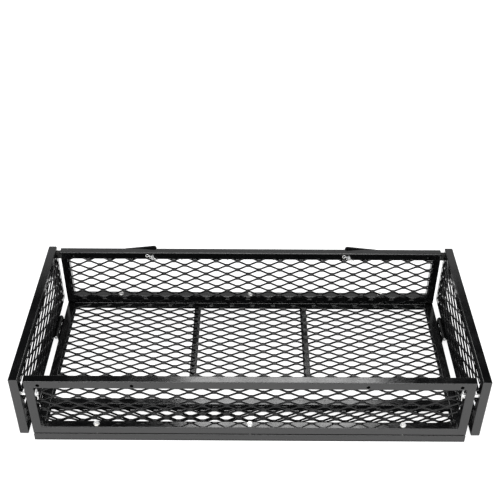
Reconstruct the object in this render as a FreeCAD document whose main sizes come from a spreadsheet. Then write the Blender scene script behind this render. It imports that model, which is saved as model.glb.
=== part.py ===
import FreeCAD, Part
import math
import os
from collections import namedtuple

import Sketcher

# Drop-side basket carrier: a square-tube floor frame with an expanded-metal floor, two long
# panels bolted to it and two side panels that fold outward on barrel hinges.
# Millimetres, +X along the long side, +Y to the back, +Z up. The origin is under the middle
# of the carrier, on the plane that the floor frame rests on.

Vector = FreeCAD.Vector
Rotation = FreeCAD.Rotation
Placement = FreeCAD.Placement

X_AXIS = Vector(1, 0, 0)
Y_AXIS = Vector(0, 1, 0)
Z_AXIS = Vector(0, 0, 1)

DIMENSIONS = (
    # the basket
    ("basket_length", 1219.2),
    ("basket_depth", 609.6),
    ("long_panel_height", 203.2),
    ("side_panel_height", 208.2),
    ("side_gap", 13.4),
    ("floor_slit", 3.2),
    ("main_floor_depth", 403.4),
    ("floor_gap", 63.5),
    # square tube
    ("tube_side", 25.4),
    ("tube_bore", 22.2),
    ("tube_corner", 2.6),
    ("bar_side", 19.05),
    ("bar_bore", 15.85),
    ("bar_corner", 2.0),
    ("cross_bar_offset", 175.0),
    # expanded metal
    ("mesh_thickness", 2.4),
    ("mesh_long_way", 68.3),
    ("mesh_short_way", 34.8),
    ("mesh_strand", 4.2),
    ("mesh_bond_length", 12.0),
    ("mesh_bond_width", 8.0),
    ("mesh_border", 2.0),
    ("mesh_overlap", 5.0),
    ("mesh_lap", 22.4),
    ("mesh_gap", 0.2),
    ("floor_mesh_recess", 0.6),
    ("floor_mesh_inset", 0.3),
    # holes and bolts
    ("pin_hole", 10.0),
    ("pin_hole_drop", 15.0),
    ("stay_hole_drop", 13.4),
    ("inner_hole_offset", 318.0),
    ("stay_hole_offset", 314.5),
    ("outer_hole_offset", 571.0),
    ("bolt_offset", 431.0),
    ("bolt_hole", 9.0),
    ("bolt_shank", 8.0),
    ("bolt_length", 39.5),
    ("bolt_head_across", 13.0),
    ("bolt_head_height", 5.3),
    ("bolt_flange", 17.0),
    ("bolt_flange_height", 1.6),
    ("nut_height", 6.8),
    ("nut_access", 19.0),
    ("spacer_outer", 18.0),
    # pins and clips
    ("pin_shank", 9.85),
    ("clip_hole", 2.8),
    ("clip_wire", 2.5),
    ("clevis_head", 15.0),
    ("clevis_head_height", 3.2),
    ("clevis_clip_offset", 4.6),
    ("pin_tail", 3.6),
    ("lock_pin_height", 146.0),
    ("lock_pin_reach", 3.0),
    ("lock_pin_flange", 15.0),
    ("lock_pin_flange_height", 2.4),
    ("lock_socket", 11.6),
    # stay bars
    ("stay_length", 106.0),
    ("stay_width", 40.0),
    ("stay_thickness", 4.0),
    ("stay_corner", 8.0),
    ("stay_end", 13.0),
    ("stay_gap", 0.4),
    # hinges
    ("hinge_length", 100.0),
    ("hinge_offset", 146.0),
    ("hinge_axis_height", 32.5),
    ("knuckle_outer", 12.0),
    ("knuckle_bore", 6.5),
    ("knuckle_gap", 0.3),
    ("leaf_thickness", 2.0),
    ("leaf_height", 9.0),
    ("leaf_start", 6.5),
    ("hinge_pin", 6.35),
    ("hinge_pin_head", 10.0),
    ("hinge_pin_head_height", 2.5),
    # small pieces of the panels
    ("bumper_clearance", 0.3),
    ("bumper_depth", 14.0),
    ("bumper_height", 24.0),
    ("bumper_centre_height", 186.0),
    ("plate_length", 80.0),
    ("plate_height", 16.0),
    ("plate_thickness", 2.5),
    ("plate_top_drop", 3.0),
    ("plate_offset", 40.0),
)

KNUCKLES = 5
STAY_SLOPE = 6.6
CLIP_SLOPE = 34.0
BUMPER_ROUNDING = 2.0
PLATE_ROUNDING = 3.0

# where the mesh pattern of each sheet starts, from the middle of the sheet
FLOOR_MESH_SHIFT = (-27.3, -7.45)
FLOOR_STRIP_SHIFT = (0.0, 0.0)
FRONT_MESH_SHIFT = (4.0, 12.5)
BACK_MESH_SHIFT = (8.0, 11.1)
SIDE_MESH_SHIFT = (0.0, 0.0)


# ---------------------------------------------------------------- document and sheet

doc = FreeCAD.newDocument("basket_carrier")
sheet = doc.addObject("Spreadsheet::Sheet", "Dimensions")
for row, (alias, value) in enumerate(DIMENSIONS, start=1):
    sheet.set(f"A{row}", alias)
    sheet.set(f"B{row}", str(value))
    sheet.setAlias(f"B{row}", alias)
doc.recompute()

nodes = []


def dim(alias):
    """The value of one cell of the sheet."""
    return float(getattr(sheet, alias))


def cell(formula):
    """The formula with each alias in it written as a reference to the sheet."""
    words = formula.split()
    aliases = {alias for alias, _ in DIMENSIONS}
    return " ".join(f"Dimensions.{word}" if word in aliases else word for word in words)


def bind(obj, **formulas):
    """Bind properties of an object to formulas over the sheet's aliases."""
    for name, formula in formulas.items():
        obj.setExpression(name, cell(formula))
    return obj


def keep(obj, label, placement=None):
    """Name an object as one sub-part and put it in its place."""
    obj.Label = label
    if placement is not None:
        obj.Placement = placement
    nodes.append(obj)
    return obj


def place(x=0.0, y=0.0, z=0.0, axis=Z_AXIS, angle=0.0):
    """A placement from a position and one turn about an axis."""
    return Placement(Vector(x, y, z), Rotation(axis, angle))


# ---------------------------------------------------------------- sketch helpers

def sketch_on(body, role, name):
    """A sketch on one of the body's own origin planes."""
    sketch = body.newObject("Sketcher::SketchObject", name)
    plane = next(item for item in body.Origin.OriginFeatures if item.Role == role)
    sketch.AttachmentSupport = (plane, [""])
    sketch.MapMode = "FlatFace"
    return sketch


def constrain(sketch, kind, *arguments, formula):
    """Add a dimension to a sketch and bind it to the sheet."""
    index = sketch.addConstraint(Sketcher.Constraint(kind, *arguments))
    sketch.setExpression(f"Constraints[{index}]", cell(formula))


def add_outline(sketch, corners):
    """Closed outline of straight lines through the corners; returns the index of its first line."""
    first = sketch.GeometryCount
    count = len(corners)
    for start, end in zip(corners, corners[1:] + corners[:1]):
        sketch.addGeometry(Part.LineSegment(Vector(*start, 0), Vector(*end, 0)), False)
    for step in range(count):
        following = first + (step + 1) % count
        sketch.addConstraint(Sketcher.Constraint("Coincident", first + step, 2, following, 1))
    return first


def add_centred_rectangle(sketch, width, height, size):
    """Rectangle about the sketch's origin, its sides bound to two formulas."""
    half_width, half_height = size[0] / 2, size[1] / 2
    corners = [(-half_width, -half_height), (half_width, -half_height),
               (half_width, half_height), (-half_width, half_height)]
    first = add_outline(sketch, corners)
    for line, kind in enumerate(("Horizontal", "Vertical", "Horizontal", "Vertical")):
        sketch.addConstraint(Sketcher.Constraint(kind, first + line))
    sketch.addConstraint(Sketcher.Constraint("Symmetric", first, 1, first + 2, 1, -1, 1))
    constrain(sketch, "DistanceX", first, 1, first, 2, size[0], formula=width)
    constrain(sketch, "DistanceY", first + 1, 1, first + 1, 2, size[1], formula=height)


def add_circle(sketch, x, y, diameter):
    """Circle whose centre and diameter are bound to the sheet; x and y are (sign, formula)."""
    radius = dim(diameter) / 2
    index = sketch.addGeometry(Part.Circle(Vector(0, 0, 0), Z_AXIS, radius), False)
    constrain(sketch, "Diameter", index, 2 * radius, formula=diameter)
    for kind, on_axis, (sign, formula) in (("DistanceX", -2, x), ("DistanceY", -1, y)):
        if sign == 0:
            sketch.addConstraint(Sketcher.Constraint("PointOnObject", index, 3, on_axis))
        elif sign > 0:
            constrain(sketch, kind, -1, 1, index, 3, 10.0, formula=formula)
        else:
            constrain(sketch, kind, index, 3, -1, 1, 10.0, formula=formula)


def edges_along(shape, direction):
    """Names of the straight edges that run along a direction."""
    found = []
    for number, edge in enumerate(shape.Edges, start=1):
        if isinstance(edge.Curve, Part.Line) and abs(edge.Curve.Direction.dot(direction)) > 0.999:
            found.append(f"Edge{number}")
    return found


# ---------------------------------------------------------------- square tube

CENTRED = (0, "")
Drilling = namedtuple("Drilling", "plane x y diameter walls")


def drill(body, label, drillings):
    """Cut round holes through a tube: both walls, or only the one behind or before the plane."""
    for number, drilling in enumerate(drillings, start=1):
        before = body.Tip.Shape.Volume
        circle = sketch_on(body, drilling.plane, f"{label}_hole_{number}_centre")
        add_circle(circle, drilling.x, drilling.y, drilling.diameter)
        hole = body.newObject("PartDesign::Pocket", f"{label}_hole_{number}")
        hole.Profile = circle
        hole.Type = "ThroughAll"
        hole.SideType = "Symmetric" if drilling.walls == "both" else "One side"
        hole.Reversed = drilling.walls == "front"
        doc.recompute()
        if body.Tip.Shape.Volume > before - 1.0:
            raise RuntimeError(f"{label}: hole {number} cut nothing")


def tube(label, length, placement, section="tube", mitred=True, drillings=()):
    """Square tube along X about its own centre. Mitred ends are longest on its -Z side."""
    side, bore, corner = f"{section}_side", f"{section}_bore", f"{section}_corner"
    size = dim(side)
    body = doc.addObject("PartDesign::Body", label)
    profile = sketch_on(body, "XZ_Plane", f"{label}_profile")
    if mitred:
        half = 100.0
        corners = [(-half, -size / 2), (half, -size / 2), (half - size, size / 2), (size - half, size / 2)]
        first = add_outline(profile, corners)
        for line in (first, first + 2):
            profile.addConstraint(Sketcher.Constraint("Symmetric", line, 1, line, 2, -2))
        constrain(profile, "DistanceY", first, 1, -1, 1, size / 2, formula=f"{side} / 2")
        constrain(profile, "DistanceY", -1, 1, first + 2, 1, size / 2, formula=f"{side} / 2")
        constrain(profile, "DistanceX", first, 1, first, 2, 2 * half, formula=length)
        constrain(profile, "DistanceX", first + 2, 2, first + 2, 1, 2 * (half - size),
                  formula=f"{length} - 2 * {side}")
    else:
        add_centred_rectangle(profile, length, side, (200.0, size))
    bar = body.newObject("PartDesign::Pad", f"{label}_bar")
    bar.Profile = profile
    bar.SideType = "Symmetric"
    bind(bar, Length=side)
    doc.recompute()

    rounded = body.newObject("PartDesign::Fillet", f"{label}_corners")
    rounded.Base = (bar, edges_along(bar.Shape, X_AXIS))
    bind(rounded, Radius=corner)
    doc.recompute()

    opening = sketch_on(body, "YZ_Plane", f"{label}_section")
    add_centred_rectangle(opening, bore, bore, (dim(bore), dim(bore)))
    hollow = body.newObject("PartDesign::Pocket", f"{label}_hollow")
    hollow.Profile = opening
    hollow.Type = "ThroughAll"
    hollow.SideType = "Symmetric"
    doc.recompute()
    drill(body, label, drillings)
    return keep(body, label, placement)


# ---------------------------------------------------------------- expanded metal

def clip_to_window(points, half_width, half_height):
    """Convex outline cut back to a rectangle about the origin."""
    for axis, limit in ((0, half_width), (0, -half_width), (1, half_height), (1, -half_height)):
        sign = 1 if limit > 0 else -1
        kept = []
        for here, following in zip(points, points[1:] + points[:1]):
            inside = sign * here[axis] <= abs(limit)
            if inside:
                kept.append(here)
            if inside != (sign * following[axis] <= abs(limit)):
                part = (limit - here[axis]) / (following[axis] - here[axis])
                kept.append(tuple(a + part * (b - a) for a, b in zip(here, following)))
        points = kept
    return points


def outline_area(points):
    """Area inside a closed outline."""
    pairs = zip(points, points[1:] + points[:1])
    return abs(sum(a[0] * b[1] - b[0] * a[1] for a, b in pairs)) / 2


def mesh_opening():
    """Outline of one opening, clockwise: a hexagon with points at the bonds beside it."""
    slope = dim("mesh_short_way") / 2 / (dim("mesh_long_way") / 2 - dim("mesh_bond_length"))
    lean = math.sin(math.atan(slope))
    tip = (dim("mesh_long_way") - dim("mesh_bond_length") - dim("mesh_strand") / lean) / 2
    top = (dim("mesh_short_way") - dim("mesh_bond_width")) / 2
    flat = tip - top / slope
    return [(tip, 0.0), (flat, -top), (-flat, -top), (-tip, 0.0), (-flat, top), (flat, top)]


def mesh_sheet(label, width, height, placement, shift=(0.0, 0.0)):
    """Flat sheet of expanded metal in XY about its centre, its long way along X."""
    half_width, half_height = width / 2, height / 2
    border = dim("mesh_border")
    outline = mesh_opening()
    long_way, half_row = dim("mesh_long_way"), dim("mesh_short_way") / 2
    smallest = outline_area(outline) / 20
    corners = [(-half_width, -half_height), (half_width, -half_height),
               (half_width, half_height), (-half_width, half_height)]
    wires = [Part.makePolygon([Vector(*point, 0) for point in corners + corners[:1]])]
    rows = math.ceil(half_height / half_row) + 1
    columns = math.ceil(half_width / long_way) + 1
    for row in range(-rows, rows + 1):
        for column in range(-columns, columns + 1):
            x = (column + (row % 2) / 2) * long_way + shift[0]
            y = row * half_row + shift[1]
            moved = [(x + px, y + py) for px, py in outline]
            points = clip_to_window(moved, half_width - border, half_height - border)
            if len(points) > 2 and outline_area(points) > smallest:
                wires.append(Part.makePolygon([Vector(*point, 0) for point in points + points[:1]]))
    face = Part.Face(wires)
    sheet_of_mesh = doc.addObject("Part::Feature", label)
    sheet_of_mesh.Shape = face.extrude(Vector(0, 0, dim("mesh_thickness")))
    return keep(sheet_of_mesh, label, placement)


# ---------------------------------------------------------------- panels

def panel(name, length, height, posts, placement, lap, shift, top_drillings=(),
          bottom_drillings=(), post_drillings=None):
    """One framed panel: four mitred tubes and the mesh sheet on its inner side.

    Its own frame has X along the panel, +Y inward and Z up from its bottom edge. The lap is how
    far the mesh reaches down over the bottom rail.
    """
    post_drillings = post_drillings or {}
    side = dim("tube_side")
    span, rise = dim(length), dim(height)
    tube(f"{name}_bottom_rail", length, placement * place(0, side / 2, side / 2),
         drillings=bottom_drillings)
    tube(f"{name}_top_rail", length, placement * place(0, side / 2, rise - side / 2, X_AXIS, 180),
         drillings=top_drillings)
    for post, direction in zip(posts, (-1, 1)):
        spot = place(direction * (span - side) / 2, side / 2, rise / 2, Y_AXIS, -90 * direction)
        tube(f"{name}_{post}", height, placement * spot, drillings=post_drillings.get(post, ()))
    overlap, lap = dim("mesh_overlap"), dim(lap)
    depth = side + dim("mesh_gap") + dim("mesh_thickness")
    mesh_sheet(f"{name}_mesh", span - 2 * (side - overlap), rise - 2 * side + overlap + lap,
               placement * place(0, depth, (rise + overlap - lap) / 2, X_AXIS, 90), shift)


# ---------------------------------------------------------------- small pieces

def cylinder(radius, height, placement=None, **bound):
    """Part cylinder with its sizes bound to formulas."""
    shape = doc.addObject("Part::Cylinder", "cylinder")
    bind(shape, Radius=radius, Height=height)
    if placement is not None:
        shape.Placement = placement
    return bind(shape, **bound)


def fuse(label, pieces):
    """Union of several pieces."""
    union = doc.addObject("Part::MultiFuse", label)
    union.Shapes = pieces
    union.Refine = True
    return union


def cut(label, base, tool):
    """One piece less another."""
    result = doc.addObject("Part::Cut", label)
    result.Base = base
    result.Tool = tool
    return result


def group(label, master, placements):
    """Several copies of one piece as separate solids of one sub-part."""
    doc.recompute()
    copies = [master.Shape.transformed(spot.toMatrix()) for spot in placements]
    result = doc.addObject("Part::Feature", label)
    result.Shape = Part.Compound(copies)
    return keep(result, label)


def hinge_leaf(label, slots, placement):
    """Leaf of a barrel hinge: a plate on the -X side, below the pin, with its own knuckles."""
    inner_face = "0 - side_gap / 2"
    plate = doc.addObject("Part::Box", f"{label}_plate")
    bind(plate, Length="leaf_thickness", Width="hinge_length", Height="leaf_height",
         **{"Placement.Base.x": inner_face, "Placement.Base.y": "0 - hinge_length / 2",
            "Placement.Base.z": "0 - leaf_start - leaf_height"})
    pieces = [plate]
    pitch = f"hinge_length / {KNUCKLES}"
    for slot in slots:
        start = f"0 - hinge_length / 2 + {slot} * {pitch} + knuckle_gap / 2"
        barrel = cylinder("knuckle_outer / 2", f"{pitch} - knuckle_gap", place(0, 0, 0, X_AXIS, -90),
                          **{"Placement.Base.y": start})
        web = doc.addObject("Part::Box", f"{label}_web")
        bind(web, Length="leaf_thickness", Width=f"{pitch} - knuckle_gap", Height="leaf_start",
             **{"Placement.Base.x": inner_face, "Placement.Base.y": start,
                "Placement.Base.z": "0 - leaf_start"})
        pieces += [barrel, web]
    bore = cylinder("knuckle_bore / 2", "hinge_length + 2", place(0, 0, 0, X_AXIS, -90),
                    **{"Placement.Base.y": "0 - hinge_length / 2 - 1"})
    leaf = cut(label, fuse(f"{label}_solid", pieces), bore)
    return keep(leaf, label, placement)


def hinge_pin(label, placement):
    """Hinge pin along Y with a peened head at each end."""
    turn = place(0, 0, 0, X_AXIS, -90)
    shank = cylinder("hinge_pin / 2", "hinge_length", turn, **{"Placement.Base.y": "0 - hinge_length / 2"})
    front = cylinder("hinge_pin_head / 2", "hinge_pin_head_height", turn,
                     **{"Placement.Base.y": "0 - hinge_length / 2 - hinge_pin_head_height"})
    rear = cylinder("hinge_pin_head / 2", "hinge_pin_head_height", turn,
                    **{"Placement.Base.y": "hinge_length / 2"})
    return keep(fuse(label, [shank, front, rear]), label, placement)


def cross_drilled_pin(label, reach, head_start, head_diameter, head_height):
    """Pin along Z with a head and, near its -Z end, a cross hole along X for a hairpin clip."""
    tail = "clevis_clip_offset + pin_tail"
    shank = cylinder("pin_shank / 2", f"{tail} + {reach}", **{"Placement.Base.z": f"0 - ( {tail} )"})
    head = cylinder(f"{head_diameter} / 2", head_height, **{"Placement.Base.z": head_start})
    hole = cylinder("clip_hole / 2", "pin_shank + 4", place(0, 0, 0, Y_AXIS, 90),
                    **{"Placement.Base.x": "0 - pin_shank / 2 - 2",
                       "Placement.Base.z": "0 - clevis_clip_offset"})
    return cut(label, fuse(f"{label}_solid", [shank, head]), hole)


def rounded_path(points, radii):
    """Wire through the points, each inner corner replaced by an arc tangent to both runs."""
    corners = [Vector(*point, 0) for point in points]
    edges = []
    start = corners[0]
    for before, corner, after, radius in zip(corners, corners[1:], corners[2:], radii):
        arriving = (corner - before).normalize()
        leaving = (after - corner).normalize()
        half_turn = arriving.getAngle(leaving) / 2
        tangent = radius * math.tan(half_turn)
        enter = corner - arriving * tangent
        leave = corner + leaving * tangent
        inward = (leaving - arriving).normalize()
        middle = corner + inward * (radius / math.cos(half_turn) - radius)
        edges += [Part.LineSegment(start, enter).toShape(), Part.Arc(enter, middle, leave).toShape()]
        start = leave
    edges.append(Part.LineSegment(start, corners[-1]).toShape())
    return Part.Wire(edges)


def hairpin_clip(label):
    """Hairpin clip in XY: a straight leg through the origin, a ring end and a leg that hugs the pin."""
    points = [(20, 0), (-21, 0), (-21, 9.6), (-14, 9.6), (-11.2, 3.2), (-8.4, 3.2), (-5.6, 7.8),
              (5.6, 7.8), (8.4, 3.2), (11, 3.2), (18, 6.4)]
    radii = (4.7, 4.7, 3.0, 2.0, 2.0, 3.0, 3.0, 2.0, 2.0)
    path = rounded_path(points, radii)
    section = Part.Wire(Part.makeCircle(dim("clip_wire") / 2, Vector(*points[0], 0), X_AXIS))
    clip = doc.addObject("Part::Feature", label)
    clip.Shape = path.makePipeShell([section], True, False)
    return clip


def rounded_box(label, length, width, height, radius, axis, placement):
    """Box with the four edges along one axis rounded."""
    block = doc.addObject("Part::Box", f"{label}_block")
    bind(block, Length=length, Width=width, Height=height)
    doc.recompute()
    soft = doc.addObject("Part::Fillet", label)
    soft.Base = block
    soft.Edges = [(int(edge[4:]), radius, radius) for edge in edges_along(block.Shape, axis)]
    return keep(soft, label, placement)


def stay_bar(label, placement):
    """Flat bar from its pivot hole at the origin along +X, its thickness along +Y."""
    body = doc.addObject("PartDesign::Body", label)
    outline = sketch_on(body, "XZ_Plane", f"{label}_outline")
    half = dim("stay_width") / 2
    near, far = dim("stay_end"), dim("stay_length") - dim("stay_end")
    first = add_outline(outline, [(-near, -half), (far, -half), (far, half), (-near, half)])
    for line, kind in enumerate(("Horizontal", "Vertical", "Horizontal", "Vertical")):
        outline.addConstraint(Sketcher.Constraint(kind, first + line))
    constrain(outline, "DistanceX", first, 1, -1, 1, near, formula="stay_end")
    constrain(outline, "DistanceY", first, 1, -1, 1, half, formula="stay_width / 2")
    constrain(outline, "DistanceX", first, 1, first, 2, near + far, formula="stay_length")
    constrain(outline, "DistanceY", first + 1, 1, first + 1, 2, 2 * half, formula="stay_width")
    flat = body.newObject("PartDesign::Pad", f"{label}_flat")
    flat.Profile = outline
    flat.Reversed = True
    bind(flat, Length="stay_thickness")
    doc.recompute()
    rounded = body.newObject("PartDesign::Fillet", f"{label}_corners")
    rounded.Base = (flat, edges_along(flat.Shape, Y_AXIS))
    bind(rounded, Radius="stay_corner")
    doc.recompute()
    drill(body, label, (
        Drilling("XZ_Plane", CENTRED, CENTRED, "pin_hole", "both"),
        Drilling("XZ_Plane", (1, "stay_length - 2 * stay_end"), CENTRED, "pin_hole", "both"),
    ))
    return keep(body, label, placement)


# ---------------------------------------------------------------- places

SIDE = dim("tube_side")
WALL = (SIDE - dim("tube_bore")) / 2
HALF_LENGTH = dim("basket_length") / 2
PANEL_BOTTOM = SIDE + dim("floor_slit")
REAR_OVERHANG = dim("stay_gap") * 2 + dim("stay_thickness") + dim("clevis_head_height")
FRONT = -(dim("basket_depth") + REAR_OVERHANG) / 2
BACK = FRONT + dim("basket_depth")
MIDDLE = (FRONT + BACK) / 2
SIDE_PANEL_FACE = HALF_LENGTH + dim("side_gap") + SIDE
HANDS = (("left", -1), ("right", 1))


# ---------------------------------------------------------------- floor

BOLT_SPOTS = ((-1, "bolt_offset"), CENTRED, (1, "bolt_offset"))
floor_drillings = [Drilling("XZ_Plane", spot, CENTRED, "bolt_hole", "front") for spot in BOLT_SPOTS]
floor_drillings += [Drilling("XZ_Plane", spot, CENTRED, "nut_access", "back") for spot in BOLT_SPOTS]

# A mitred tube is longest on its -Z side, so each floor rail lies with that side outward.
LAID_FLAT = place(0, 0, 0, X_AXIS, -90)
half_rail = SIDE / 2
tube("floor_front_rail", "basket_length", place(0, FRONT + half_rail, half_rail) * LAID_FLAT,
     drillings=floor_drillings)
tube("floor_back_rail", "basket_length", place(0, BACK - half_rail, half_rail, Z_AXIS, 180) * LAID_FLAT,
     drillings=floor_drillings)
for hand, sign in HANDS:
    spot = place(sign * (HALF_LENGTH - half_rail), MIDDLE, half_rail, Z_AXIS, 90 * sign)
    tube(f"floor_{hand}_rail", "basket_depth", spot * LAID_FLAT)

MESH_TOP = SIDE - dim("floor_mesh_recess")
MESH_BOTTOM = MESH_TOP - dim("mesh_thickness")
BAR_CENTRE = MESH_BOTTOM - dim("mesh_gap") - dim("bar_side") / 2
main_front = BACK - dim("main_floor_depth")
strip_back = main_front - dim("floor_gap")
main_length = BACK - SIDE - (main_front + SIDE)
strip_length = strip_back - SIDE - (FRONT + SIDE)
main_middle = BACK - SIDE - main_length / 2
strip_middle = FRONT + SIDE + strip_length / 2
for name, depth in (("floor_front_divider", strip_back - half_rail),
                    ("floor_rear_divider", main_front + half_rail)):
    tube(name, "basket_length - 2 * tube_side", place(0, depth, half_rail), mitred=False)
for hand, sign in HANDS:
    tube(f"floor_{hand}_cross_bar", "main_floor_depth - 2 * tube_side",
         place(sign * dim("cross_bar_offset"), main_middle, BAR_CENTRE, Z_AXIS, 90),
         section="bar", mitred=False)

inset = 2 * dim("floor_mesh_inset")
floor_width = dim("basket_length") - 2 * SIDE - inset
mesh_sheet("floor_mesh", floor_width, main_length - inset,
           place(0, main_middle, MESH_BOTTOM), FLOOR_MESH_SHIFT)
mesh_sheet("floor_strip_mesh", floor_width, strip_length - inset,
           place(0, strip_middle, MESH_BOTTOM), FLOOR_STRIP_SHIFT)


# ---------------------------------------------------------------- panels



def rail_holes(offset, drop):
    """Two round holes across a top rail, which is turned over, at a distance below its top."""
    return [Drilling("XZ_Plane", (sign, offset), (1, f"{drop} - tube_side / 2"), "pin_hole", "both")
            for sign in (-1, 1)]


OUTER_HOLES = rail_holes("outer_hole_offset", "pin_hole_drop")
FRONT_HOLES = OUTER_HOLES + rail_holes("inner_hole_offset", "pin_hole_drop")
BACK_HOLES = OUTER_HOLES + rail_holes("stay_hole_offset", "stay_hole_drop")
BOLT_HOLES = [Drilling("XY_Plane", spot, CENTRED, "bolt_hole", "both") for spot in BOLT_SPOTS]
LOCK_RISE = "lock_pin_height - long_panel_height / 2"
SOCKET_RISE = "lock_pin_height - side_panel_height / 2"

panel("front_panel", "basket_length", "long_panel_height", ("left_post", "right_post"),
      place(0, FRONT, PANEL_BOTTOM), "mesh_lap", FRONT_MESH_SHIFT, FRONT_HOLES, BOLT_HOLES,
      {f"{hand}_post": [Drilling("XY_Plane", (sign, LOCK_RISE), CENTRED, "pin_hole", "both")]
       for hand, sign in HANDS})
panel("back_panel", "basket_length", "long_panel_height", ("right_post", "left_post"),
      place(0, BACK, PANEL_BOTTOM, Z_AXIS, 180), "mesh_lap", BACK_MESH_SHIFT, BACK_HOLES, BOLT_HOLES)
for hand, sign in HANDS:
    posts = ("front_post", "rear_post")[::sign]
    panel(f"{hand}_side_panel", "basket_depth", "side_panel_height", posts,
          place(sign * SIDE_PANEL_FACE, MIDDLE, PANEL_BOTTOM, Z_AXIS, 90 * sign), "mesh_overlap",
          SIDE_MESH_SHIFT, post_drillings={"front_post": [
              Drilling("XZ_Plane", (-sign, SOCKET_RISE), CENTRED, "lock_socket", "back")]})


# ---------------------------------------------------------------- bolts, spacers and nuts

RAIL_LINES = (FRONT + half_rail, BACK - half_rail)
bolt_spots = [(x * dim("bolt_offset"), y) for y in RAIL_LINES for x in (-1, 0, 1)]


def hexagon(height, placement=None):
    """Hexagonal prism with the bolt head's width across its flats."""
    prism = doc.addObject("Part::Prism", "hexagon")
    prism.Polygon = 6
    bind(prism, Circumradius="bolt_head_across / sqrt(3)", Height=height)
    if placement is not None:
        prism.Placement = placement
    return prism


head = hexagon("bolt_head_height + bolt_flange_height")
flange = cylinder("bolt_flange / 2", "bolt_flange_height")
shank = cylinder("bolt_shank / 2", "bolt_length", **{"Placement.Base.z": "0 - bolt_length"})
bolt = fuse("bolt_pattern_piece", [head, flange, shank])
group("panel_bolts", bolt, [place(x, y, PANEL_BOTTOM + SIDE) for x, y in bolt_spots])

nut = cut("nut_pattern_piece", hexagon("nut_height"),
          cylinder("bolt_hole / 2", "nut_height + 2", **{"Placement.Base.z": "0 - 1"}))
group("panel_nuts", nut, [place(x, y, SIDE - WALL - dim("nut_height")) for x, y in bolt_spots])

spacer = cut("spacer_pattern_piece", cylinder("spacer_outer / 2", "floor_slit"),
             cylinder("bolt_hole / 2", "floor_slit + 2", **{"Placement.Base.z": "0 - 1"}))
group("panel_spacers", spacer, [place(x, y, SIDE) for x, y in bolt_spots])


# ---------------------------------------------------------------- hinges

for hand, sign in HANDS:
    for end, y in (("front", MIDDLE - dim("hinge_offset")), ("rear", MIDDLE + dim("hinge_offset"))):
        axis_x = sign * (HALF_LENGTH + dim("side_gap") / 2)
        spot = place(axis_x, y, dim("hinge_axis_height"))
        floor_turn = place() if sign > 0 else place(0, 0, 0, Z_AXIS, 180)
        panel_turn = floor_turn * place(0, 0, 0, Y_AXIS, 180)
        hinge_leaf(f"{hand}_{end}_hinge_floor_leaf", range(0, KNUCKLES, 2), spot * floor_turn)
        hinge_leaf(f"{hand}_{end}_hinge_panel_leaf", range(1, KNUCKLES, 2), spot * panel_turn)
        hinge_pin(f"{hand}_{end}_hinge_pin", spot)


# ---------------------------------------------------------------- lock pins at the front corners

clip = hairpin_clip("clip_pattern_piece")
LOCK_LINE = FRONT + half_rail
LOCK_HEIGHT = PANEL_BOTTOM + dim("lock_pin_height")
at_cross_hole = place(0, 0, -dim("clevis_clip_offset"))
for hand, sign in HANDS:
    spot = place(sign * (HALF_LENGTH - SIDE), LOCK_LINE, LOCK_HEIGHT, Y_AXIS, 90 * sign)
    roll = place(0, 0, 0, Z_AXIS, 0 if sign > 0 else 180)
    lock = cross_drilled_pin(f"{hand}_lock_pin", "tube_side + side_gap + lock_pin_reach",
                             "0 - lock_pin_flange_height", "lock_pin_flange", "lock_pin_flange_height")
    keep(lock, f"{hand}_lock_pin", spot * roll)
    group(f"{hand}_lock_clip", clip, [spot * roll * at_cross_hole])


# ---------------------------------------------------------------- stay bars behind the back panel

STAY_HEIGHT = PANEL_BOTTOM + dim("long_panel_height") - dim("stay_hole_drop")
STAY_FACE = BACK + dim("stay_gap")
clevis = cross_drilled_pin("clevis_pattern_piece", "tube_side + stay_thickness + 2 * stay_gap",
                           "tube_side + stay_thickness + 2 * stay_gap", "clevis_head", "clevis_head_height")
clevis_spots = []
for hand, sign in HANDS:
    x = sign * dim("stay_hole_offset")
    back_turn = place() if sign > 0 else place(0, dim("stay_thickness"), 0, Z_AXIS, 180)
    stay_bar(f"{hand}_stay_bar",
             place(x, STAY_FACE, STAY_HEIGHT, Y_AXIS, sign * STAY_SLOPE) * back_turn)
    across = place(x, BACK - SIDE, STAY_HEIGHT, X_AXIS, -90)
    clevis_spots.append(across * place(0, 0, 0, Z_AXIS, CLIP_SLOPE))
group("clevis_pins", clevis, clevis_spots)
group("hairpin_clips", clip, [spot * at_cross_hole for spot in clevis_spots])


# ---------------------------------------------------------------- bumpers and plates

for hand, sign in HANDS:
    bumper_length = dim("side_gap") - dim("bumper_clearance")
    corner = HALF_LENGTH if sign > 0 else -HALF_LENGTH - bumper_length
    rounded_box(f"{hand}_corner_bumper", "side_gap - bumper_clearance", "bumper_depth", "bumper_height",
                BUMPER_ROUNDING, X_AXIS,
                place(corner, BACK - half_rail - dim("bumper_depth") / 2,
                      PANEL_BOTTOM + dim("bumper_centre_height") - dim("bumper_height") / 2))
    inner_face = SIDE_PANEL_FACE - SIDE
    plate_x = inner_face - dim("plate_thickness") if sign > 0 else -inner_face
    plate_z = PANEL_BOTTOM + dim("side_panel_height") - dim("plate_top_drop") - dim("plate_height")
    rounded_box(f"{hand}_rail_plate", "plate_thickness", "plate_length", "plate_height",
                PLATE_ROUNDING, X_AXIS,
                place(plate_x, MIDDLE + dim("plate_offset") - dim("plate_length") / 2, plate_z))


# ---------------------------------------------------------------- check and write

doc.recompute()
for item in doc.Objects:
    if {"Invalid", "Error"} & set(item.State):
        raise RuntimeError(f"{item.Label} failed to rebuild: {item.State}")
for node in nodes:
    if node.Shape.isNull() or not node.Shape.isValid() or not node.Shape.Solids:
        raise RuntimeError(f"{node.Label} has no sound shape")

os.makedirs("parts", exist_ok=True)
for node in nodes:
    node.Shape.exportStep(f"parts/{node.Label}.step")

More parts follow.
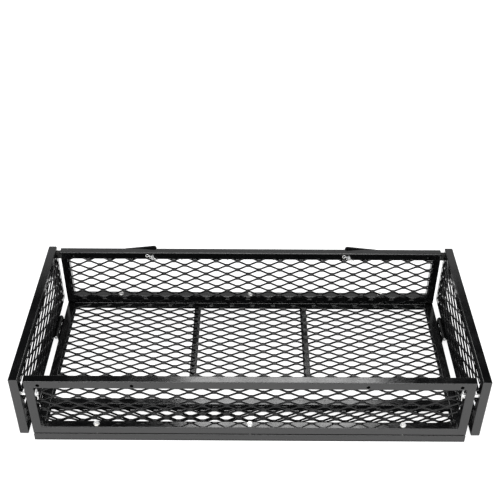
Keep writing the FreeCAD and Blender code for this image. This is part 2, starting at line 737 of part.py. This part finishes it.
whole = FreeCAD.BoundBox()
for node in nodes:
    whole.add(node.Shape.BoundBox)
print(f"{len(nodes)} sub-parts, {whole.XLength:.1f} x {whole.YLength:.1f} x {whole.ZLength:.1f} mm")
print(f"box from {whole.XMin:.2f}, {whole.YMin:.2f}, {whole.ZMin:.2f}")
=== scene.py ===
import math
from collections import namedtuple

import bmesh
import bpy
from mathutils import Matrix, Vector, noise


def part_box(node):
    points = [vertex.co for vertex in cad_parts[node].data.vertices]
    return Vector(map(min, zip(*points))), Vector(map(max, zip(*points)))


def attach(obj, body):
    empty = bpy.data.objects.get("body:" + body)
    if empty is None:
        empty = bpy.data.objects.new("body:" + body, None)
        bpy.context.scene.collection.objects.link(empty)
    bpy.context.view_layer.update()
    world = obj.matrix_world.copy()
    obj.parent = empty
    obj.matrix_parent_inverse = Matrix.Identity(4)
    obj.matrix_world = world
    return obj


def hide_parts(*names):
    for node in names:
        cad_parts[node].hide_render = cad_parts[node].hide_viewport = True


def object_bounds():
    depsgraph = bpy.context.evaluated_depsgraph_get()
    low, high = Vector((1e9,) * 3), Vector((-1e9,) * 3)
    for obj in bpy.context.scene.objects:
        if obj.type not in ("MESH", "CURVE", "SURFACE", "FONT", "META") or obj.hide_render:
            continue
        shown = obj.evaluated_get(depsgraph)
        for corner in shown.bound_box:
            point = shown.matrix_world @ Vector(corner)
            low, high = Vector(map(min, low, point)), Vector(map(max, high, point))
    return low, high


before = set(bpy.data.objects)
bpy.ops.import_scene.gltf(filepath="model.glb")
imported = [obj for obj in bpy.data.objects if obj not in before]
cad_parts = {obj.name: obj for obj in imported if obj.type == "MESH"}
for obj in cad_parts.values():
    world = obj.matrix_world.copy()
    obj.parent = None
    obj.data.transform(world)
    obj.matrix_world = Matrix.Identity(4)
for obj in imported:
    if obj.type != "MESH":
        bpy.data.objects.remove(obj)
cad_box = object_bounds()
scene = bpy.context.scene

# The looks of the basket carrier: powder-coated tubes, raised expanded metal, welds and zinc hardware.
# Lengths are in metres and angles in radians unless a name says otherwise.

MM = 0.001

X_INDEX, Y_INDEX = 0, 1


# ---------------------------------------------------------------- shader helpers

BEVEL_SAMPLES = 4
FLAT_DOT = 0.99
SHARP_DOT = 0.86
MIX_FIRST, MIX_SECOND, MIX_RESULT = 6, 7, 2


def material(name):
    """A new node material and its principled shader."""
    made = bpy.data.materials.new(name)
    made.use_nodes = True
    return made, made.node_tree.nodes["Principled BSDF"]


def set_inputs(node, values):
    """Constant values on a node's own inputs, by input name."""
    for name, value in values.items():
        node.inputs[name].default_value = value


def add_node(tree, kind, **properties):
    """A node with its properties set."""
    node = tree.nodes.new(kind)
    for name, value in properties.items():
        setattr(node, name, value)
    return node


def object_place(tree):
    """The point being shaded, in its object's own space."""
    return add_node(tree, "ShaderNodeTexCoord").outputs["Object"]


def noise_field(tree, place, scale, detail=3.0, roughness=0.5):
    """Noise at a place; the scale is in waves per metre."""
    node = add_node(tree, "ShaderNodeTexNoise")
    set_inputs(node, {"Scale": scale, "Detail": detail, "Roughness": roughness})
    tree.links.new(place, node.inputs["Vector"])
    return node.outputs["Fac"]


def ramp(tree, source, low, high, start=0.0, end=1.0):
    """Linear map of a value from low..high to start..end, held at both ends."""
    node = add_node(tree, "ShaderNodeMapRange")
    set_inputs(node, {"From Min": low, "From Max": high, "To Min": start, "To Max": end})
    tree.links.new(source, node.inputs["Value"])
    return node.outputs["Result"]


def blend_colour(tree, share, first, second):
    """Mix of two colours, either of which may be a socket."""
    node = add_node(tree, "ShaderNodeMix", data_type="RGBA")
    tree.links.new(share, node.inputs["Factor"])
    for socket, colour in ((node.inputs[MIX_FIRST], first), (node.inputs[MIX_SECOND], second)):
        if isinstance(colour, tuple):
            socket.default_value = (*colour, 1.0)
        else:
            tree.links.new(colour, socket)
    return node.outputs[MIX_RESULT]


def arithmetic(tree, operation, first, second):
    """Sum, product or other operation on a socket and a socket or number."""
    node = add_node(tree, "ShaderNodeMath", operation=operation)
    for socket, value in ((node.inputs[0], first), (node.inputs[1], second)):
        if isinstance(value, float):
            socket.default_value = value
        else:
            tree.links.new(value, socket)
    return node.outputs[0]


def edge_share(tree, radius):
    """1 along a solid's sharp edges and 0 on its faces."""
    bevel = add_node(tree, "ShaderNodeBevel", samples=BEVEL_SAMPLES)
    set_inputs(bevel, {"Radius": radius})
    geometry = add_node(tree, "ShaderNodeNewGeometry")
    dot = add_node(tree, "ShaderNodeVectorMath", operation="DOT_PRODUCT")
    tree.links.new(bevel.outputs["Normal"], dot.inputs[0])
    tree.links.new(geometry.outputs["True Normal"], dot.inputs[1])
    return ramp(tree, dot.outputs["Value"], low=FLAT_DOT, high=SHARP_DOT)


def bumps(tree, shader, layers):
    """Chain of bump nodes from (height, strength, distance) layers onto a shader's normal."""
    previous = None
    for height, strength, distance in layers:
        node = add_node(tree, "ShaderNodeBump")
        set_inputs(node, {"Strength": strength, "Distance": distance})
        tree.links.new(height, node.inputs["Height"])
        if previous is not None:
            tree.links.new(previous, node.inputs["Normal"])
        previous = node.outputs["Normal"]
    tree.links.new(previous, shader.inputs["Normal"])


# ---------------------------------------------------------------- materials

WORN_COAT = (0.105, 0.105, 0.11)
DUST_DULLS = 0.14
WEAR_DULLS = 0.22
BLUISH_ZINC = (0.94, 0.96, 0.98)
YELLOWISH_ZINC = (0.98, 0.96, 0.91)
DULL_ZINC = (0.46, 0.47, 0.48)
DARK_RUBBER = (0.018, 0.018, 0.018)
BLOOMED_RUBBER = (0.055, 0.055, 0.053)


def powder_coat(name, dark, pale, smooth, rough, edge_radius, sheen):
    """Glossy black powder coat: orange peel, uneven gloss, a little dust and worn edges."""
    made, shader = material(name)
    tree = made.node_tree
    place = object_place(tree)
    cloud = noise_field(tree, place, scale=7.0, detail=4.0, roughness=0.6)
    speck = noise_field(tree, place, scale=420.0, detail=2.0)
    peel = noise_field(tree, place, scale=650.0, detail=2.0, roughness=0.4)
    ripple = noise_field(tree, place, scale=130.0, detail=2.0)
    patchy = noise_field(tree, place, scale=210.0, roughness=0.65)

    clouded = ramp(tree, cloud, low=0.42, high=0.7)
    dust = arithmetic(tree, "MULTIPLY", clouded, ramp(tree, speck, low=0.35, high=0.75))
    wear = arithmetic(tree, "MULTIPLY", edge_share(tree, edge_radius), ramp(tree, patchy, low=0.5, high=0.66))
    dusty_coat = blend_colour(tree, dust, dark, pale)
    tree.links.new(blend_colour(tree, wear, dusty_coat, WORN_COAT), shader.inputs["Base Color"])

    gloss = ramp(tree, cloud, low=0.3, high=0.72, start=smooth, end=rough)
    dusty = arithmetic(tree, "ADD", gloss, arithmetic(tree, "MULTIPLY", dust, DUST_DULLS))
    scuffed = arithmetic(tree, "ADD", dusty, arithmetic(tree, "MULTIPLY", wear, WEAR_DULLS))
    tree.links.new(scuffed, shader.inputs["Roughness"])

    bumps(tree, shader, ((peel, 0.16, 0.3 * MM), (ripple, 0.10, 0.6 * MM)))
    set_inputs(shader, {"Specular IOR Level": sheen, "Coat Weight": 0.25, "Coat Roughness": 0.09})
    return made


def zinc_plate():
    """Bright zinc plate with faint blue and yellow patches, fine scratches and duller hollows."""
    made, shader = material("zinc_plate")
    tree = made.node_tree
    place = object_place(tree)
    patch = noise_field(tree, place, scale=160.0, roughness=0.55)
    fine = noise_field(tree, place, scale=1500.0, roughness=0.6)
    tint = blend_colour(tree, ramp(tree, patch, low=0.35, high=0.68), BLUISH_ZINC, YELLOWISH_ZINC)
    dull = ramp(tree, fine, low=0.55, high=0.8, start=0.0, end=0.25)
    tree.links.new(blend_colour(tree, dull, tint, DULL_ZINC), shader.inputs["Base Color"])
    tree.links.new(ramp(tree, patch, low=0.3, high=0.75, start=0.17, end=0.38), shader.inputs["Roughness"])
    bumps(tree, shader, ((fine, 0.12, 0.12 * MM), (patch, 0.08, 0.4 * MM)))
    set_inputs(shader, {"Metallic": 0.45})
    return made


def moulded_rubber():
    """Matte black rubber with a fine moulded grain and grey bloom."""
    made, shader = material("moulded_rubber")
    tree = made.node_tree
    place = object_place(tree)
    grain = noise_field(tree, place, scale=1100.0, roughness=0.6)
    bloom = noise_field(tree, place, scale=60.0, detail=4.0, roughness=0.6)
    colour = blend_colour(tree, ramp(tree, bloom, low=0.4, high=0.75), DARK_RUBBER, BLOOMED_RUBBER)
    tree.links.new(colour, shader.inputs["Base Color"])
    tree.links.new(ramp(tree, bloom, low=0.3, high=0.7, start=0.62, end=0.85), shader.inputs["Roughness"])
    bumps(tree, shader, ((grain, 0.25, 0.3 * MM),))
    return made


finishes = {
    "frame_black": powder_coat("coated_frame", dark=(0.0035, 0.0035, 0.0037), pale=(0.011, 0.011, 0.0115),
                               smooth=0.11, rough=0.19, edge_radius=1.1 * MM, sheen=0.85),
    "mesh_black": powder_coat("coated_mesh", dark=(0.0035, 0.0035, 0.0037), pale=(0.012, 0.012, 0.0125),
                              smooth=0.14, rough=0.24, edge_radius=0.5 * MM, sheen=0.4),
    "zinc": zinc_plate(),
    "rubber_black": moulded_rubber(),
}

for cad_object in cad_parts.values():
    for slot in cad_object.material_slots:
        slot.material = finishes[slot.material.name.split(".")[0]]


# ---------------------------------------------------------------- new pieces

def add_piece(name, bm, body, slot_name):
    """Object made from a filled-in bmesh, riding on a body, with the slot's finish."""
    mesh = bpy.data.meshes.new(name)
    bm.normal_update()
    bm.to_mesh(mesh)
    bm.free()
    mesh.materials.append(finishes[slot_name])
    piece = bpy.data.objects.new(name, mesh)
    scene.collection.objects.link(piece)
    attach(piece, body)
    return piece


def sweep(bm, rings):
    """Closed-ended skin through rings of points that all have the same count."""
    layers = [[bm.verts.new(point) for point in ring] for ring in rings]
    count = len(layers[0])
    for here, following in zip(layers, layers[1:]):
        for i in range(count):
            j = (i + 1) % count
            face = bm.faces.new((here[i], here[j], following[j], following[i]))
            face.smooth = True
    bm.faces.new(layers[0][::-1])
    bm.faces.new(layers[-1])


# ---------------------------------------------------------------- expanded metal

LONG_WAY = 68.3 * MM
HALF_ROW = 17.4 * MM
BOND = 12.0 * MM
STRAND_WIDTH = 5.1 * MM
STRAND_THICKNESS = 2.4 * MM
STRAND_CHAMFER = 0.35 * MM
TILT = math.radians(26.0)

# A strand bends from its bond into its slope over the corner run: it leaves the bond's line half
# a run inside the bond's end, and has made a first part of its lift a fifth of a run outside it.
CORNER_RUN = 2.6 * MM
BEND_INSIDE = 0.5 * CORNER_RUN
BEND_OUTSIDE = 0.2 * CORNER_RUN
FIRST_LIFT = 0.18

Sheet = namedtuple("Sheet", "node body along up shift")
SHEETS = (
    Sheet("floor_mesh", "carrier", (1, 0, 0), (0, 1, 0), (-27.3 * MM, -7.45 * MM)),
    Sheet("floor_strip_mesh", "carrier", (1, 0, 0), (0, 1, 0), (0.0, 0.0)),
    Sheet("front_panel_mesh", "carrier", (-1, 0, 0), (0, 0, 1), (-4.0 * MM, 12.5 * MM)),
    Sheet("back_panel_mesh", "carrier", (-1, 0, 0), (0, 0, 1), (8.0 * MM, 11.1 * MM)),
    Sheet("left_side_panel_mesh", "left_side_panel", (0, -1, 0), (0, 0, 1), (0.0, 0.0)),
    Sheet("right_side_panel_mesh", "right_side_panel", (0, 1, 0), (0, 0, 1), (0.0, 0.0)),
)


def strand_path(row, reach, shift):
    """Middle line of one wavy strand: low where it is bonded to the row below, high at the row above."""
    wave = HALF_ROW / 2 - STRAND_WIDTH * math.cos(TILT) / 2
    level = (row + 0.5) * HALF_ROW + shift[1]
    flat = BOND / 2
    slope = 2 * wave / (LONG_WAY / 2 - BOND)
    points = []
    for step in range(-2 * reach, 2 * reach + 1):
        low = (step + row) % 2 == 0
        x = (step + 1) * LONG_WAY / 2 + shift[0]
        v = level - wave if low else level + wave
        lift = slope * CORNER_RUN * (1 if low else -1)
        points += [(x - flat - CORNER_RUN, v + lift), (x - flat - BEND_OUTSIDE, v + lift * FIRST_LIFT),
                   (x - flat + BEND_INSIDE, v), (x + flat - BEND_INSIDE, v),
                   (x + flat + BEND_OUTSIDE, v + lift * FIRST_LIFT), (x + flat + CORNER_RUN, v + lift)]
    return points, level, wave


def strand_section():
    """Chamfered rectangle of a strand, tilted about its long axis, as (across, out) pairs."""
    w, t, c = STRAND_WIDTH / 2, STRAND_THICKNESS / 2, STRAND_CHAMFER
    outline = [(-w + c, -t), (w - c, -t), (w, -t + c), (w, t - c),
               (w - c, t), (-w + c, t), (-w, t - c), (-w, -t + c)]
    cos, sin = math.cos(TILT), math.sin(TILT)
    return [(a * cos - b * sin, a * sin + b * cos) for a, b in outline]


def strand_rings(points, level, wave, middle, axes):
    """Sections of a strand along its path, stepped out of the sheet's plane as the strand waves."""
    along, up, out = axes
    section = strand_section()
    step_height = STRAND_WIDTH / 2 * math.sin(TILT)
    rings = []
    for index, (x, v) in enumerate(points):
        before = points[max(index - 1, 0)]
        after = points[min(index + 1, len(points) - 1)]
        turn = Vector((after[0] - before[0], after[1] - before[1])).normalized()
        sheet_height = -step_height * (v - level) / wave
        ring = []
        for across, proud in section:
            flat_x = x - across * turn.y
            flat_v = v + across * turn.x
            ring.append(middle + along * flat_x + up * flat_v + out * (sheet_height + proud))
        rings.append(ring)
    return rings


def trim(bm, middle, direction, limit):
    """Cut off what lies past a limit and close the cut ends."""
    parts = bm.verts[:] + bm.edges[:] + bm.faces[:]
    bmesh.ops.bisect_plane(bm, geom=parts, plane_co=middle + direction * limit,
                           plane_no=direction, clear_outer=True)
    rims = [edge for edge in bm.edges if edge.is_boundary]
    bmesh.ops.holes_fill(bm, edges=rims, sides=0)


def expanded_sheet(sheet):
    """Raised expanded metal that fills the CAD sheet's outline, its strands tilted and stepped."""
    along, up = Vector(sheet.along), Vector(sheet.up)
    out = along.cross(up)
    low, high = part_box(sheet.node)
    middle = (low + high) / 2
    half_along = abs((high - low).dot(along)) / 2
    half_up = abs((high - low).dot(up)) / 2
    rows = math.ceil(half_up / HALF_ROW) + 1
    columns = math.ceil(half_along / LONG_WAY) + 1
    bm = bmesh.new()
    for row in range(-rows, rows + 1):
        points, level, wave = strand_path(row, columns, sheet.shift)
        sweep(bm, strand_rings(points, level, wave, middle, (along, up, out)))
    for direction, limit in ((along, half_along), (-along, half_along), (up, half_up), (-up, half_up)):
        trim(bm, middle, direction, limit)
    piece = add_piece(f"{sheet.node}_strands", bm, sheet.body, "mesh_black")
    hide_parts(sheet.node)


for sheet in SHEETS:
    expanded_sheet(sheet)


# ---------------------------------------------------------------- welds

CORNER_INSET = 2.0 * MM
CORNER_BEAD = 2.1 * MM
BAR_BEAD = 1.7 * MM
RING_STEP = 0.45 * MM
RING_SIDES = 10
FEWEST_RINGS = 4
END_SHARE = 0.35
TAPER_RADII = 1.6
RIPPLE_LENGTH = 1.7 * MM
RIPPLE_DEPTH = 0.10
BEAD_LUMP_SCALE = 260.0
BEAD_LUMP_DEPTH = 0.14

TACK_STEP = 2 * LONG_WAY
TACK_RADIUS = 3.4 * MM
TACK_FLATNESS = 0.5
TACK_FINENESS = 2
TACK_LUMP_SCALE = 420.0
TACK_LUMP_DEPTH = 0.18

Panel = namedtuple("Panel", "name body across deep facing")
PANELS = (
    Panel("front_panel", "carrier", X_INDEX, Y_INDEX, 1),
    Panel("back_panel", "carrier", X_INDEX, Y_INDEX, -1),
    Panel("left_side_panel", "left_side_panel", Y_INDEX, X_INDEX, 1),
    Panel("right_side_panel", "right_side_panel", Y_INDEX, X_INDEX, -1),
)


def add_bead(bm, start, end, radius, seed):
    """Weld bead from start to end: an uneven rod with the ripples of a moving puddle."""
    start, end = Vector(start), Vector(end)
    run = (end - start).normalized()
    side = run.orthogonal().normalized()
    other = run.cross(side)
    length = (end - start).length
    count = max(int(length / RING_STEP), FEWEST_RINGS)
    rings = []
    for i in range(count + 1):
        along = length * i / count
        centre = start + run * along
        taper = min(1.0, END_SHARE + min(along, length - along) / (TAPER_RADII * radius))
        ripple = 1.0 + RIPPLE_DEPTH * abs(math.sin(math.pi * along / RIPPLE_LENGTH))
        ring = []
        for k in range(RING_SIDES):
            angle = 2 * math.pi * k / RING_SIDES
            outward = side * math.cos(angle) + other * math.sin(angle)
            place = (centre + outward * radius) * BEAD_LUMP_SCALE + Vector((seed, 0.0, 0.0))
            uneven = 1.0 + BEAD_LUMP_DEPTH * noise.noise(place)
            ring.append(centre + outward * radius * taper * ripple * uneven)
        rings.append(ring)
    sweep(bm, rings)


def add_tack(bm, centre, normal, seed):
    """Flattened, slightly lumpy blob of weld metal."""
    turn = normal.to_track_quat("Z", "Y").to_matrix().to_4x4()
    made = bmesh.ops.create_icosphere(bm, subdivisions=TACK_FINENESS, radius=TACK_RADIUS)
    for vert in made["verts"]:
        place = vert.co * TACK_LUMP_SCALE + Vector((seed, seed, 0.0))
        lumpy = vert.co * (1.0 + TACK_LUMP_DEPTH * noise.noise(place))
        lumpy.z *= TACK_FLATNESS
        vert.co = Vector(centre) + turn @ lumpy
        for face in vert.link_faces:
            face.smooth = True


def spread(start, end, step):
    """Evenly spaced values between two ends, about a step apart and half a step from each end."""
    count = max(int((end - start) / step), 1)
    return [start + (end - start) * (i + 0.5) / count for i in range(count)]


def inner_corners(panel):
    """The four inner corners of a panel's frame: lines through the tube where rail and post meet."""
    low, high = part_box(f"{panel.name}_bottom_rail")
    top_rail_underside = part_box(f"{panel.name}_top_rail")[0].z
    tube = high.z - low.z
    runs = []
    for edge in (low[panel.across] + tube, high[panel.across] - tube):
        for level in (high.z, top_rail_underside):
            start, end = Vector((0, 0, level)), Vector((0, 0, level))
            start[panel.across] = end[panel.across] = edge
            start[panel.deep] = low[panel.deep] + CORNER_INSET
            end[panel.deep] = high[panel.deep] - CORNER_INSET
            runs.append((start, end))
    return runs


def upright_bead(bm, x, y, low, high, radius, seed):
    """Bead up the corner where two floor tubes meet."""
    add_bead(bm, (x, y, low.z + CORNER_INSET), (x, y, high.z - CORNER_INSET), radius, seed)


def floor_frame_beads(bm):
    """Beads where the floor's long tubes meet its end rails, and round the cross bars' ends."""
    left_low, left_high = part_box("floor_left_rail")
    right_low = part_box("floor_right_rail")[0]
    crossings = [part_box("floor_front_rail")[1].y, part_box("floor_back_rail")[0].y]
    for name in ("floor_front_divider", "floor_rear_divider"):
        crossings += [corner.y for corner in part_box(name)]
    for x in (left_high.x, right_low.x):
        for y in crossings:
            upright_bead(bm, x, y, left_low, left_high, CORNER_BEAD, x + y)
    for hand in ("left", "right"):
        low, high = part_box(f"floor_{hand}_cross_bar")
        for x in (low.x, high.x):
            for y in (low.y, high.y):
                upright_bead(bm, x, y, low, high, BAR_BEAD, x - y)


def floor_sheet_tacks(bm, name):
    """Tacks round the edge of a floor sheet."""
    low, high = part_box(name)
    level = (low.z + high.z) / 2
    upward = Vector((0, 0, 1))
    for x in spread(low.x, high.x, TACK_STEP):
        for y in (low.y, high.y):
            add_tack(bm, (x, y, level), upward, x)
    for y in spread(low.y, high.y, TACK_STEP):
        for x in (low.x, high.x):
            add_tack(bm, (x, y, level), upward, y)


def panel_sheet_tacks(bm, panel):
    """Tacks along a panel sheet's edges, on the side that faces its frame."""
    low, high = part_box(f"{panel.name}_mesh")
    depth = low[panel.deep] if panel.facing > 0 else high[panel.deep]
    normal = Vector((0, 0, 0))
    normal[panel.deep] = panel.facing

    def tack(along, level, seed):
        centre = Vector((0, 0, level))
        centre[panel.across], centre[panel.deep] = along, depth
        add_tack(bm, centre, normal, seed)

    for along in spread(low[panel.across], high[panel.across], TACK_STEP):
        for level in (low.z + CORNER_INSET, high.z - CORNER_INSET):
            tack(along, level, along)
    for level in spread(low.z, high.z, TACK_STEP / 2):
        for along in (low[panel.across] + CORNER_INSET, high[panel.across] - CORNER_INSET):
            tack(along, level, along + level)


welds = {body: bmesh.new() for body in ("carrier", "left_side_panel", "right_side_panel")}

for panel in PANELS:
    for seed, (start, end) in enumerate(inner_corners(panel)):
        add_bead(welds[panel.body], start, end, CORNER_BEAD, seed)
floor_frame_beads(welds["carrier"])
for name in ("floor_mesh", "floor_strip_mesh"):
    floor_sheet_tacks(welds["carrier"], name)
for panel in PANELS:
    panel_sheet_tacks(welds[panel.body], panel)

for body, bm in welds.items():
    add_piece(f"{body}_welds", bm, body, "frame_black")


# ---------------------------------------------------------------- floor and backdrop

FLOOR_REACH = 14.0
FLOOR_LEVEL = -0.2 * MM
PATCH_SIDE = 50.0 * MM
PATCH_END = 4.0 * MM
WALL_RADIUS = 13.0
WALL_HEIGHT = 12.0
WALL_SIDES = 96
DARKER_FLOOR = (0.48, 0.48, 0.48)
PALER_FLOOR = (0.52, 0.52, 0.52)
WHITE = (1.0, 1.0, 1.0, 1.0)
BLACK = (0.0, 0.0, 0.0, 1.0)


def pale_floor():
    """Matt, pale and slightly luminous, with a faint cloud."""
    made, shader = material("pale_floor")
    tree = made.node_tree
    cloud = noise_field(tree, object_place(tree), scale=0.7, detail=2.0)
    tree.links.new(blend_colour(tree, cloud, DARKER_FLOOR, PALER_FLOOR), shader.inputs["Base Color"])
    set_inputs(shader, {"Roughness": 0.9, "Specular IOR Level": 0.1,
                        "Emission Color": WHITE, "Emission Strength": 0.73})
    return made


def pale_backdrop():
    """Evenly luminous and nothing else."""
    made, shader = material("pale_backdrop")
    set_inputs(shader, {"Base Color": BLACK, "Specular IOR Level": 0.0,
                        "Emission Color": WHITE, "Emission Strength": 0.95})
    return made


def stage_piece(name, bm, finish):
    """Stage object made from a filled-in bmesh."""
    mesh = bpy.data.meshes.new(name)
    bm.to_mesh(mesh)
    bm.free()
    mesh.materials.append(finish)
    piece = bpy.data.objects.new(name, mesh)
    scene.collection.objects.link(piece)
    return piece


def floor_part(name, rectangles, finish):
    """Part of the studio floor, made of (x start, y start, x end, y end) rectangles."""
    bm = bmesh.new()
    for x0, y0, x1, y1 in rectangles:
        corners = ((x0, y0), (x1, y0), (x1, y1), (x0, y1))
        bm.faces.new([bm.verts.new((x, y, FLOOR_LEVEL)) for x, y in corners])
    return stage_piece(name, bm, finish)


def studio_floor():
    """Wide floor round the carrier, and under it a patch that the glossy coat doesn't mirror."""
    finish = pale_floor()
    left, right = cad_box[0].x - PATCH_SIDE, cad_box[1].x + PATCH_SIDE
    front, back = cad_box[0].y - PATCH_END, cad_box[1].y + PATCH_END
    around = [(-FLOOR_REACH, -FLOOR_REACH, FLOOR_REACH, front),
              (-FLOOR_REACH, back, FLOOR_REACH, FLOOR_REACH),
              (-FLOOR_REACH, front, left, back),
              (right, front, FLOOR_REACH, back)]
    floor_part("stage_floor", around, finish)
    floor_part("stage_floor_under", [(left, front, right, back)], finish).visible_glossy = False


def backdrop_wall():
    """Round wall behind everything, seen by the camera alone, so that no view ends in the dark."""
    bm = bmesh.new()
    bmesh.ops.create_cone(bm, cap_ends=False, segments=WALL_SIDES,
                          radius1=WALL_RADIUS, radius2=WALL_RADIUS, depth=WALL_HEIGHT)
    bmesh.ops.translate(bm, verts=bm.verts, vec=(0.0, 0.0, WALL_HEIGHT / 2 + FLOOR_LEVEL))
    wall = stage_piece("stage_backdrop", bm, pale_backdrop())
    wall.visible_glossy = wall.visible_diffuse = wall.visible_shadow = False


studio_floor()
backdrop_wall()


# ---------------------------------------------------------------- light

WORLD_COLOUR = (0.9, 0.95, 1.0, 1.0)
WORLD_STRENGTH = 0.04
RAIL_TOP = 0.23


def soft_light(name, place, target, size, power):
    """Rectangular soft box facing a point."""
    light = bpy.data.lights.new(name, "AREA")
    light.shape = "RECTANGLE"
    light.size, light.size_y = size
    light.energy = power
    lamp = bpy.data.objects.new(name, light)
    lamp.location = place
    lamp.rotation_mode = "QUATERNION"
    lamp.rotation_quaternion = (Vector(target) - Vector(place)).to_track_quat("-Z", "Y")
    scene.collection.objects.link(lamp)
    return lamp


world = bpy.data.worlds.new("studio")
world.use_nodes = True
set_inputs(world.node_tree.nodes["Background"], {"Color": WORLD_COLOUR, "Strength": WORLD_STRENGTH})
scene.world = world

# The floor mesh mirrors what is straight overhead, so the overhead light is split round that zone.
soft_light("overhead_back_box", place=(0.0, 1.3, 3.25), target=(0.0, 0.0, 0.0), size=(2.2, 0.9), power=32.0)
soft_light("overhead_front_box", place=(0.0, -2.1, 3.1), target=(0.0, 0.0, 0.0), size=(4.5, 1.2), power=92.0)
# The rails' flat tops mirror the back box, and the front mesh's strands mirror the low one.
soft_light("back_box", place=(0.24, 3.0, 3.5), target=(0.0, -0.3, RAIL_TOP), size=(1.6, 0.6), power=13.0)
front_low_box = soft_light("front_low_box", place=(0.0, -4.2, 0.95), target=(0.0, -0.3, 0.15),
                           size=(5.0, 1.0), power=40.0)
front_low_box.visible_camera = False
soft_light("back_wall_box", place=(0.0, 3.05, 1.55), target=(0.0, 0.3, RAIL_TOP),
           size=(4.4, 1.5), power=12.0)


# ---------------------------------------------------------------- camera

CAMERA_PLACE = (0.0001, -1.9645, 1.8737)
CAMERA_YAW = 0.0007
CAMERA_PITCH = math.radians(50.69)
CAMERA_ROLL = 0.0051
CAMERA_RISE = 0.1
LENS_MILLIMETRES = 62.52
SENSOR_MILLIMETRES = 36.0
NEAR, FAR = 0.05, 60.0

camera_data = bpy.data.cameras.new("camera")
camera_data.sensor_width = SENSOR_MILLIMETRES
camera_data.lens = LENS_MILLIMETRES
camera_data.shift_y = CAMERA_RISE
camera_data.clip_start, camera_data.clip_end = NEAR, FAR
camera = bpy.data.objects.new("camera", camera_data)
camera.matrix_world = (Matrix.Translation(CAMERA_PLACE)
                       @ Matrix.Rotation(CAMERA_YAW, 4, "Z")
                       @ Matrix.Rotation(CAMERA_PITCH, 4, "X")
                       @ Matrix.Rotation(CAMERA_ROLL, 4, "Z"))
scene.collection.objects.link(camera)
scene.camera = camera

scene.view_settings.view_transform = "Standard"
scene.view_settings.look = "Medium High Contrast"
